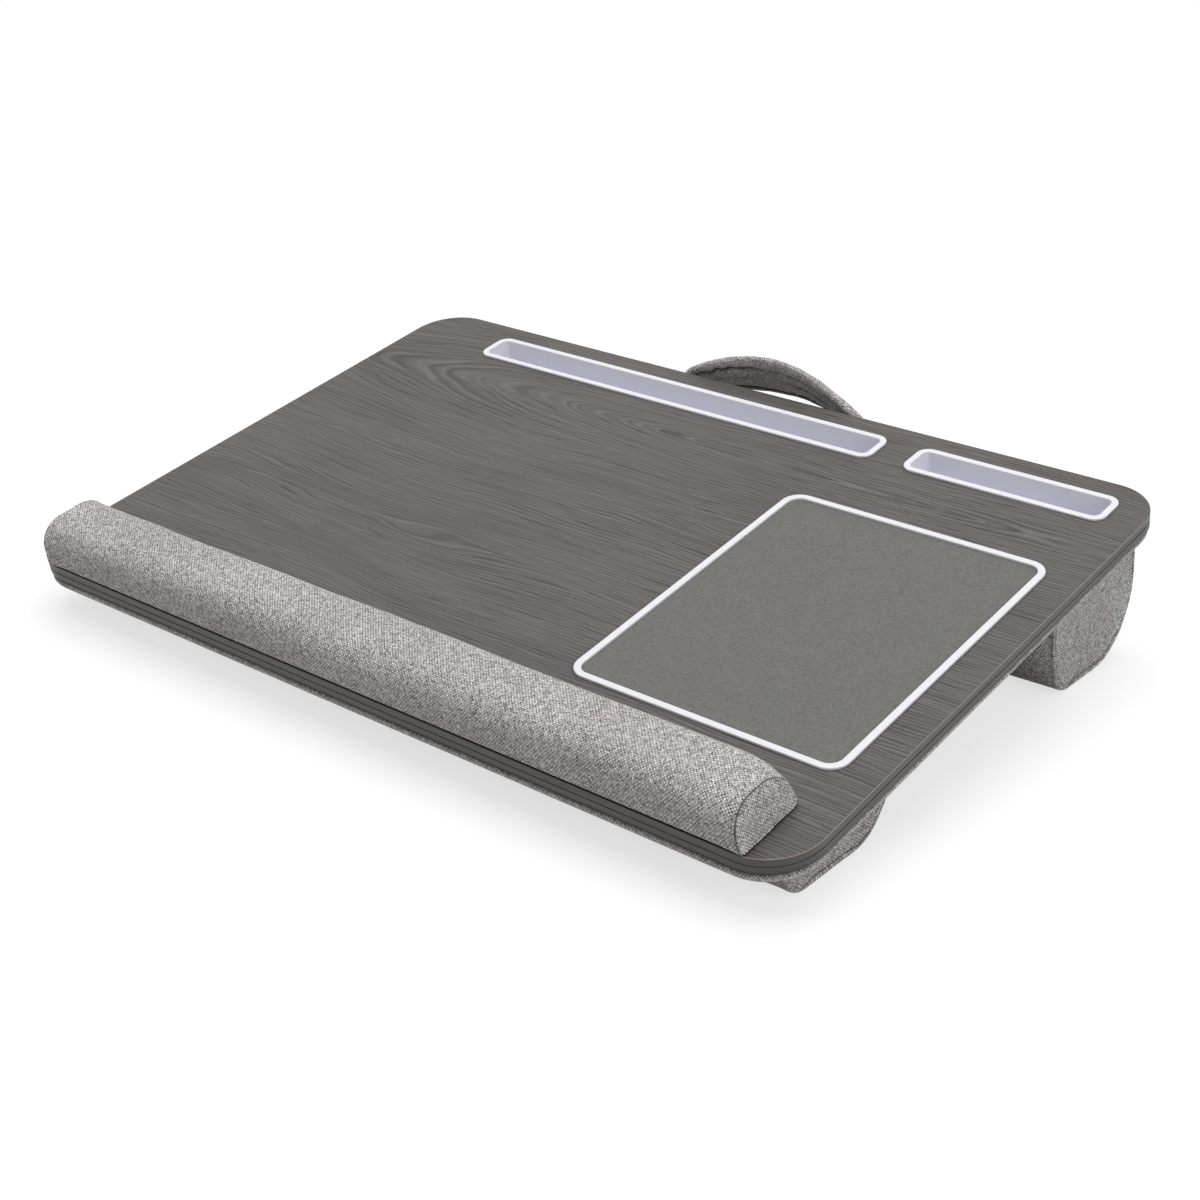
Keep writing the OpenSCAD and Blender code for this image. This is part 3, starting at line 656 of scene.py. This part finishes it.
def shapeCushion(piece, kit):
    # gathers at the base line, soft waves, and a flat foot
    mesh = piece.data
    normals = [v.normal.copy() for v in mesh.vertices]
    for vertex, normal in zip(mesh.vertices, normals):
        p = vertex.co
        drop = cushionSet["under"] - deskHeight(p)
        if drop < 0.3:
            continue
        wave = noise.noise(Vector((p.x * 22, p.y * 30, p.z * 26))) * 1.1
        wave += noise.noise(Vector((p.x * 60, p.y * 60, p.z * 30 + 9))) * 0.35
        gather = math.exp(-drop / 9) * noise.noise(Vector((p.x * 95, p.y * 95, 3.3))) * 1.5
        grip = min(1, drop / 6)
        vertex.co = p + normal * ((wave * kit["sag"] + gather) * grip / 1000)
        vertex.co.z = max(vertex.co.z, cushionSet["footGap"])
    mesh.update()


cushions = {}
for which in ("front", "rear"):
    piece = cushions[which] = makeCushion(which + "Cushion", cushionSet[which])
    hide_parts(which + "_cushion_cover", which + "_cushion_end_left",
                which + "_cushion_end_right", which + "_cushion_filling")
    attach(piece, "desk")
print("the two cushions are stuffed")

baseKit = {"wide": 547.2, "deep": 374.6, "round": 29.2, "top": -9.05, "under": -15.0,
           "rear": 185.3}  # the carry strap swings down just behind the rear


def roundedRectangle(wide, deep, radius, inset, cornerSteps=10, sideStep=9.0):
    # points round a rounded rectangle, with the length walked so far
    w, d, r = wide / 2 - inset, deep / 2 - inset, max(0.5, radius - inset)
    outer = max(0.5, radius)
    points = []
    longSteps = round((wide - 2 * outer) / sideStep)
    shortSteps = round((deep - 2 * outer) / sideStep)
    for quarter in range(4):
        angle = math.pi / 2 * quarter
        cx, cy = ((w - r, d - r), (r - w, d - r), (r - w, r - d), (w - r, r - d))[quarter]
        arc = [(cx + r * math.cos(angle + math.pi / 2 * k / cornerSteps),
                cy + r * math.sin(angle + math.pi / 2 * k / cornerSteps))
               for k in range(cornerSteps + 1)]
        points += arc[:-1]
        nx, ny = ((r - w, d), (-w, r - d), (w - r, -d), (w, d - r))[quarter]
        count = longSteps if quarter % 2 == 0 else shortSteps
        points += [(arc[-1][0] + (nx - arc[-1][0]) * k / count,
                    arc[-1][1] + (ny - arc[-1][1]) * k / count) for k in range(count)]
    return points


def makeBaseWrap():
    top, under = baseKit["top"], baseKit["under"]
    loops = [(14.0, top), (6.0, top), (2.4, top - 0.02), (1.6, top - 0.3), (0.8, top - 1.0),
             (0.0, top - 2.7), (0.0, under + 1.6), (0.5, under + 0.5), (1.6, under + 0.06),
             (6.0, under), (14.0, under)]
    # painted shade where it turns in under the edge band, and painted light (below zero) on the
    # lower strip
    paintedShading = (0, 0, 1, 1, 1, 0.25, -0.3, -0.5, -0.5, -0.3, 0)
    vertices, faces, uvs, shadeAndLightMarks = [], [], [], []
    first = roundedRectangle(baseKit["wide"], baseKit["deep"], baseKit["round"], 0.0)
    count = len(first)
    walked = walk([Vector(point) for point in first + first[:1]])
    for (inset, z), dark in zip(loops, paintedShading):
        ring = roundedRectangle(baseKit["wide"], baseKit["deep"], baseKit["round"], inset)
        for k, (x, y) in enumerate(ring):
            ripple = noise.noise(Vector((x * 0.05, y * 0.05, z * 0.2))) * 0.14
            scale = 1 + (ripple if inset < 3 else 0) / 250
            vertices.append(onDesk(x * scale, min(y * scale, baseKit["rear"]), z))
            shadeAndLightMarks.append(dark)
    for i in range(len(loops) - 1):
        rise = [-(loops[j][0] if loops[j][0] > 1 else 0) * (1 if j < 5 else -1) + loops[j][1]
                for j in (i, i + 1)]
        for k in range(count):
            n = (k + 1) % count
            faces.append((i * count + n, i * count + k, (i + 1) * count + k, (i + 1) * count + n))
            uvs.append(quadUv(walked[k + 1], walked[k], -rise[0], -rise[1]))
    last = (len(loops) - 1) * count
    faces += [tuple(range(count)), tuple(last + k for k in reversed(range(count)))]
    uvs += [[(vertices[n].x * 1000, deskDepth(vertices[n])) for n in face] for face in faces[-2:]]
    return newPiece("baseWrap", vertices, faces, uvs, shadeAndLightMarks)


restKit = {"low": 0.2, "step": 3.0, "half": 249, "bulge": 1.3, "tuck": 8.0,
           "body": [(-188.2, 0.2, 1.3), (-141.9, 0.2, 1.6), (-141.8, 26.2, 14),
                    (-187.6, 26.2, 14)],
           # right and left end: the outline, and how far out the seam stands at its foot and top
           "ends": {1: ([(-188.6, 0.2, 1.2), (-142.6, 0.2, 1.4), (-142.4, 23.4, 21),
                         (-188.4, 23.4, 16)], 251.2, 246.0),
                    -1: ([(-189.0, 0.2, 1.2), (-141.9, 0.2, 1.4), (-141.6, 27.0, 16),
                          (-188.8, 27.0, 15)], 251.4, 250.8)}}


def makeWristRest():
    # a stuffed sleeve with a slanted panel sewn into each end
    kit = restKit
    outlines = []
    for corners in (kit["body"], kit["ends"][1][0], kit["ends"][-1][0]):
        points, mids = outlineOf(corners)
        outlines.append(points[mids[0]:] + points[:mids[0] + 1])
    count = round(walk(outlines[0])[-1] / kit["step"])
    lengths = walk(spaced(outlines[0], count))
    body, rightEnd, leftEnd = (spaced(points, count)[:-1] for points in outlines)
    ends = {1: rightEnd, -1: leftEnd}
    centre = sum(rightEnd, Vector((0, 0))) / count

    def seamReach(z, side):  # how far out the sewn end stands at each height
        share = min(1, max(0, (z - kit["low"]) / 24))
        corners, foot, top = kit["ends"][side]
        return foot + (top - foot) * share ** 0.8

    # distances from the seam, closer together near it, as shares of the half length
    near = [0, 0.35, 0.8, 1.6, 2.8, 4.4, 6.6, 9.6, 13.5, 18.5]
    shares = [1 - d / kit["half"] for d in near]
    inner = [shares[-1] * i / 34 for i in range(-33, 34)]
    shares = [-t for t in shares] + inner + shares[::-1]
    vertices, faces, uvs, shadeAndLightMarks = [], [], [], []
    for share in shares:
        away = (1 - abs(share)) * kit["half"]
        side = 1 if share > 0 else -1
        for k in range(count):
            p = body[k].lerp(ends[side][k], math.exp(-(away / kit["tuck"]) ** 1.4))
            x = share * seamReach(p.y, side)
            foot = min(1, max(0, (p.y - 1.6) / 5))
            out = (p - centre).normalized()
            soft = noise.noise(Vector((x * 0.016, p.x * 0.03, p.y * 0.05))) * 0.8
            soft += noise.noise(Vector((x * 0.06, p.x * 0.07, p.y * 0.08 + 7))) * 0.28
            pucker = noise.noise(Vector((lengths[k] * 0.2, 3.0 * side, 0.5))) * math.exp(-away / 5)
            roll = 0.5 * math.exp(-((away - 1.3) / 0.8) ** 2)
            groove = 0.7 * math.exp(-(away / 0.5) ** 2)
            move = (soft * (1 - math.exp(-away / 12)) + 0.5 * pucker + roll) * foot
            q = p + out * (move - groove * (0.3 + 0.7 * foot))
            vertices.append(Vector((x, q.x, q.y)))
            # painted shade along the seam line, fading out towards the foot
            shadeAndLightMarks.append((0.8 if away < 0.5 else 0.2 if away < 1.0 else 0.0) * min(1, p.y))
    for i in range(len(shares) - 1):
        for k in range(count):
            n = (k + 1) % count
            faces.append((i * count + k, (i + 1) * count + k, (i + 1) * count + n, i * count + n))
            uvs.append(quadUv(shares[i] * kit["half"], shares[i + 1] * kit["half"],
                              lengths[k], lengths[k + 1]))

    def addFace(face, side):
        face = tuple(face[::side])
        faces.append(face)
        uvs.append([(vertices[m].y + 700, vertices[m].z) for m in face])

    # each sewn end: rings that close in on the middle of a slanted, slightly domed panel
    inward = [0.982, 0.955, 0.90, 0.82, 0.70, 0.55, 0.38, 0.2]
    for side in (-1, 1):
        edge = 0 if side < 0 else (len(shares) - 1) * count
        previous = [edge + k for k in range(count)]
        for t in inward:
            current = []
            for k, p in enumerate(ends[side]):
                q = centre + (p - centre) * t
                x = seamReach(q.y, side) + kit["bulge"] * (1 - t ** 2.5)
                fold = noise.noise(Vector((lengths[k] * 0.2, 4.0 + side, 2.5)))
                x += 0.5 * fold * math.exp((t - 1) * 14)
                x += 0.35 * math.exp(-((t - 0.95) / 0.03) ** 2)
                x += noise.noise(Vector((q.x * 0.09, q.y * 0.09, side * 4.0))) * 0.5 * (1 - t)
                current.append(len(vertices))
                vertices.append(Vector((side * x, q.x, q.y)))
                # painted shade on the end panel just inside the seam
                shadeAndLightMarks.append(0.3 if t > 0.98 else 0.0)
            for k in range(count):
                n = (k + 1) % count
                addFace([previous[k], current[k], current[n], previous[n]], side)
            previous = current
        tip = len(vertices)
        vertices.append(Vector((side * (seamReach(centre.y, side) + kit["bulge"]), *centre)))
        shadeAndLightMarks.append(0.0)
        for k in range(count):
            addFace([previous[k], tip, previous[(k + 1) % count]], side)
    # small folds fan out from the pinched lower front corners
    for v in vertices:
        side = 1 if v.x > 0 else -1
        arm = v - Vector((side * kit["ends"][side][1], kit["ends"][side][0][0][0], kit["low"]))
        close = math.exp(-(arm.length / 9) ** 2)
        if close > 0.02 and v.z > kit["low"] + 1:
            fan = math.sin(math.atan2(arm.z, arm.y * 0.9 - side * arm.x) * 13)
            v.y -= 0.45 * fan * close * min(1, abs(arm.x) / 2 + 0.3)
            v.x += side * 0.45 * fan * close
    return newPiece("wristRest", [onDesk(*v) for v in vertices], faces, uvs, shadeAndLightMarks)


strapKit = {"wide": 136, "reach": 17.5, "rise": 32, "upper": 23.2, "endUpper": 4.3, "width": 39,
            "endWidth": 7.8, "thick": 7, "spread": 0.4, "roundness": 0.75, "turn": 6.8,
            "hingeY": 196.3, "hingeZ": -11.3, "rings": 120, "around": 84,
            "foldDrop": 9.0, "foldDeep": 1.9, "hemRise": 5.4, "hemDeep": 1.8, "slackDeep": 1.0}


def strapPoint(i, k):
    # a point of the padded strap, and the painted shade there: some over its inner side, more in
    # the fold, the hem and the slack folds
    kit = strapKit
    x = kit["wide"] / 2 * math.sin(math.pi * i / kit["rings"] - math.pi / 2)
    fullness = max(0.0, math.cos(math.pi * x / kit["wide"]))
    slope = (-kit["reach"] * math.pi / kit["wide"] * math.sin(math.pi * x / kit["wide"])
             * min(1, (kit["wide"] / 2 - abs(x)) / kit["turn"]))
    out = Vector((-slope, 1)).normalized()
    spread = fullness ** kit["spread"]
    top = kit["endUpper"] + (kit["upper"] - kit["endUpper"]) * spread
    halfW = (kit["endWidth"] + (kit["width"] - kit["endWidth"]) * spread) / 2
    angle = 2 * math.pi * k / kit["around"]

    def soft(v):
        return math.copysign(abs(v) ** kit["roundness"], v)

    def crease(place, width):  # a narrow furrow across the strap's width
        return math.exp(-((rise - place) / width) ** 2)

    off, rise = kit["thick"] / 2 * soft(math.cos(angle)), halfW * soft(math.sin(angle))
    inner = max(0.0, -math.cos(angle)) ** 0.35
    body = min(1, spread * 1.2) * inner
    slow = noise.noise(Vector((x * 0.05, 2.2, 1.7)))
    quick = noise.noise(Vector((x * 0.22, 5.1, 0.3)))
    rough = noise.noise(Vector((x * 0.14, rise * 0.09, 8.4)))
    # padded upper roll over a fold, a hem above the lower edge, and slack folds towards the ends
    foldAt = halfW - kit["foldDrop"] * min(1, spread) + 1.6 * slow + 1.8 * quick
    hemAt = kit["hemRise"] * min(1, spread) - halfW + 1.8 * slow - 1.6 * quick
    right = 1 / (1 + math.exp(-(x - 8) / 7))
    left = 1 / (1 + math.exp((x + 18) / 6))
    slackAt = (foldAt * 0.55 + hemAt * 0.45) + 1.4 * noise.noise(Vector((x * 0.1, 9.0, 4.0)))
    fold = crease(foldAt, 1.4) * (0.6 + 0.4 * left)
    hem = crease(hemAt, 1.5) * (0.75 + 0.25 * right)
    slack = crease(slackAt, 1.5) * (0.9 * right + 0.4 * left)
    puff = crease(foldAt + 4.4, 2.8) + 0.5 * crease(hemAt - 3.4, 2.0)
    pleat = 0.5 * crease(0, halfW * 0.5) * math.sin(x * 0.62 + 3 * quick)
    pleat *= math.exp(-(x / 26) ** 2)
    off += body * (kit["foldDeep"] * fold + kit["hemDeep"] * hem + kit["slackDeep"] * slack
                   - 1.1 * puff - rough - 0.5 * pleat)
    off += (1 - inner) * 0.5 * rough * min(1, spread)
    rise += 0.3 * quick * fullness * soft(math.sin(angle))
    rise -= 0.5 * fullness ** 3 * max(0.0, -soft(math.sin(angle)))
    # painted shade, light over the inner side and deep in the fold, hem and slack folds
    dark = body * (0.15 + 1.3 * (fold * (0.5 + 0.5 * left) + 1.5 * hem + 0.8 * slack))
    up = top - halfW + rise
    px = x + out.x * off
    py = kit["reach"] * fullness + out.y * off
    lean = math.radians(kit["rise"])
    return (Vector((px, kit["hingeY"] + py * math.cos(lean) - up * math.sin(lean),
                    kit["hingeZ"] + py * math.sin(lean) + up * math.cos(lean))), min(1, dark))


def makeCarryStrap():
    rings, around = strapKit["rings"], strapKit["around"]
    pointsWithShade = [strapPoint(i, k) for i in range(rings + 1) for k in range(around)]
    flat = [point for point, dark in pointsWithShade]
    faces, uvs = [], []
    walkedX = walk(flat[::around])
    for i in range(rings):
        row = flat[i * around:(i + 1) * around]
        walkedA = walk(row + row[:1])
        for k in range(around):
            a, b = i * around + k, i * around + (k + 1) % around
            faces.append((a, a + around, b + around, b))
            uvs.append(quadUv(walkedX[i], walkedX[i + 1], walkedA[k], walkedA[k + 1]))
    for i, turn in ((0, 1), (rings, -1)):
        face = tuple(i * around + k for k in range(around))[::turn]
        faces.append(face)
        uvs.append([(flat[m].y, flat[m].z) for m in face])
    return newPiece("carryStrap", [onDesk(*v) for v in flat], faces, uvs,
                    [dark for point, dark in pointsWithShade])


strapEndKit = {"x": 68.3, "width": 12, "front": 179.3, "baseRear": 186.2, "under": -14.4,
               "top": -9.05, "thick": 1.5}


def makeStrapEnd(name, side):
    # a fabric tongue under the base whose end is rolled round the swing line
    kit = strapEndKit
    hy, hz = strapKit["hingeY"], strapKit["hingeZ"]
    radius = hz - (kit["under"] - kit["thick"])
    roll = [(hy + radius * math.cos(a), hz + radius * math.sin(a))
            for a in [math.radians(-90 + 250 * k / 20) for k in range(21)]]
    low = kit["under"] - kit["thick"]
    tongue = [(kit["front"] + (hy - kit["front"]) * k / 6, low) for k in range(6)]
    back = [(hy - radius * 0.98, hz - 1.2), (hy - radius * 1.2, kit["under"] + 1.2),
            (kit["baseRear"] + kit["thick"] + 0.5, kit["under"] + 0.9),
            (kit["baseRear"] + kit["thick"], kit["under"] + 2.2),
            (kit["baseRear"] + kit["thick"] - 0.1, kit["top"]),
            (kit["baseRear"] + 0.15, kit["top"]),
            (kit["baseRear"] + 0.1, kit["under"]), (kit["front"] + 3, kit["under"]),
            (kit["front"], kit["under"])]
    ring = [Vector(p) for p in tongue + roll + back]
    count = len(ring)
    lengths = walk(ring + ring[:1])
    stations = [(0.0, 0.55), (0.15, 0.2), (0.6, 0.0), (3, 0.0), (6, 0.0), (9, 0.0), (11.4, 0.0),
                (11.85, 0.2), (12, 0.55)]
    vertices, faces, uvs = [], [], []
    for along, inset in stations:
        for k, p in enumerate(ring):
            normal = ring[(k + 1) % count] - ring[k - 1]
            normal = Vector((normal.y, -normal.x)).normalized()
            q = p - normal * (inset * 0.5)
            vertices.append(onDesk(side * (kit["x"] + along * kit["width"] / 12), q.x, q.y))
    for i in range(len(stations) - 1):
        for k in range(count):
            n = (k + 1) % count
            face = [i * count + k, i * count + n, (i + 1) * count + n, (i + 1) * count + k]
            uv = [(stations[i][0], lengths[k]), (stations[i][0], lengths[k + 1]),
                  (stations[i + 1][0], lengths[k + 1]), (stations[i + 1][0], lengths[k])]
            if side > 0:
                face.reverse()
                uv.reverse()
            faces.append(tuple(face))
            uvs.append(uv)
    for base, turn in ((0, side), ((len(stations) - 1) * count, -side)):
        face = tuple(base + k for k in range(count))[::turn]
        faces.append(face)
        uvs.append([(deskDepth(vertices[m]), deskHeight(vertices[m])) for m in face])
    return newPiece(name, vertices, faces, uvs)


# the white trays drop through the base and into the rear cushion
trayKit = {"slots": [(-51.5, 303), (190.5, 121)], "y": 158.5, "deep": 20, "wall": 2.1,
           "under": -20.2, "over": -5.0}


def cutPockets(piece):
    for x, wide in trayKit["slots"]:
        w, d = wide / 2 + trayKit["wall"], trayKit["deep"] / 2 + trayKit["wall"]
        corners = [onDesk(x + sx * w, trayKit["y"] + sy * d, z)
                   for z in (trayKit["under"], trayKit["over"])
                   for sx, sy in ((-1, -1), (1, -1), (1, 1), (-1, 1))]
        block = newPiece("pocket", corners, [(3, 2, 1, 0), (4, 5, 6, 7), (0, 1, 5, 4),
                                             (1, 2, 6, 5), (2, 3, 7, 6), (3, 0, 4, 7)],
                         [[(0, 0), (1, 0), (1, 1), (0, 1)]] * 6)
        applyModifier(piece, "BOOLEAN", operation="DIFFERENCE", object=block, solver="EXACT")
        bpy.data.objects.remove(block)


baseWrap = makeBaseWrap()
cutPockets(baseWrap)
cutPockets(cushions["rear"])
wristRest = makeWristRest()
carryStrap = makeCarryStrap()
strapEnds = {"left": makeStrapEnd("strapEndLeft", -1), "right": makeStrapEnd("strapEndRight", 1)}
applyModifier(wristRest, "SUBSURF", levels=1, render_levels=1)
applyModifier(carryStrap, "SUBSURF", levels=1, render_levels=1)
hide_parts("base_cover")
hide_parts("wrist_rest_cover", "wrist_rest_end_left", "wrist_rest_end_right",
            "wrist_rest_foam", "wrist_rest_strip")
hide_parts("handle_cover", "handle_padding")
for side, piece in strapEnds.items():
    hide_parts("handle_tab_" + side)
for piece in (baseWrap, wristRest, carryStrap, *strapEnds.values()):
    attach(piece, "handle" if piece is carryStrap else "desk")
print("wrist rest, base fabric and carry handle are sewn")

cameraKit = {"place": (0.6855, -0.8312, 0.5216), "aim": (-0.5735, 0.6990, -0.4273), "lens": 60.18}
camera = bpy.data.objects.new("photoCamera", bpy.data.cameras.new("photoCamera"))
camera.data.sensor_width = 36
camera.data.lens = cameraKit["lens"]
camera.location = cameraKit["place"]
camera.rotation_euler = Vector(cameraKit["aim"]).to_track_quat("-Z", "Y").to_euler()
scene.collection.objects.link(camera)
scene.camera = camera

floorMesh = bpy.data.meshes.new("paleFloor")
reach = 30
floorMesh.from_pydata([(-reach, -reach, 0), (reach, -reach, 0), (reach, reach, 0),
                       (-reach, reach, 0)], [], [(0, 1, 2, 3)])
floor = bpy.data.objects.new("paleFloor", floorMesh)
scene.collection.objects.link(floor)
# seen straight on, the floor is lifted to white and fades out into pure white; its shadows stay
floorKit = {"tone": 0.34, "bounce": 0.5, "lift": 0.68, "fadeFrom": 0.55, "fadeTo": 1.3}
floorLook, tree, shader = newMaterial("paleFloor", 0.9)
shader.inputs["Specular IOR Level"].default_value = 0.0
pure = seenDirect(tree)
tree.links.new(blendOf(tree, pure, (*[floorKit["bounce"]] * 3, 1), (*[floorKit["tone"]] * 3, 1)),
               shader.inputs["Base Color"])
glow = put(tree, "ShaderNodeEmission", {"Color": (1, 1, 1, 1), "Strength": math2(
    tree, "MULTIPLY", pure, floorKit["lift"])})
both = put(tree, "ShaderNodeAddShader", {0: shader.outputs[0], 1: glow.outputs[0]})
spot = put(tree, "ShaderNodeTexCoord").outputs["Object"]
distance = put(tree, "ShaderNodeVectorMath", {0: spot}, operation="LENGTH").outputs["Value"]
fade = put(tree, "ShaderNodeMapRange",
           {0: distance, 1: floorKit["fadeFrom"], 2: floorKit["fadeTo"]},
           interpolation_type="SMOOTHSTEP").outputs[0]
white = put(tree, "ShaderNodeEmission", {"Color": (1, 1, 1, 1), "Strength": 1.0})
faded = put(tree, "ShaderNodeMixShader", {0: times(tree, fade, pure),
                                          1: both.outputs[0], 2: white.outputs[0]})
tree.links.new(faded.outputs[0], tree.nodes["Material Output"].inputs[0])
floorMesh.materials.append(floorLook)

skyKit = {"ambient": 0.42}
world = bpy.data.worlds.new("studio")
scene.world = world
world.use_nodes = True
tree = world.node_tree
tree.nodes.clear()
pure = seenDirect(tree)
soft = put(tree, "ShaderNodeBackground", {"Color": (1, 1, 1, 1), "Strength": skyKit["ambient"]})
white = put(tree, "ShaderNodeBackground", {"Color": (1, 1, 1, 1), "Strength": 1.0})
mixed = put(tree, "ShaderNodeMixShader", {0: pure, 1: soft.outputs[0], 2: white.outputs[0]})
put(tree, "ShaderNodeOutputWorld", {0: mixed.outputs[0]})

lampKit = [("overheadSoftbox", (-0.1, 0.15, 2.2), 2.2, 42),  # name, place, size and watts
           ("rightSoftbox", (1.9, -0.3, 0.9), 1.2, 11)]
lampAim = Vector((0, 0, 0.05))
for name, place, size, power in lampKit:
    lamp = bpy.data.objects.new(name, bpy.data.lights.new(name, "AREA"))
    lamp.data.size = size
    lamp.data.energy = power
    lamp.location = place
    lamp.rotation_euler = (lampAim - Vector(place)).to_track_quat("-Z", "Y").to_euler()
    scene.collection.objects.link(lamp)
scene.view_settings.view_transform = "Standard"
print("camera, floor and lamps are placed")
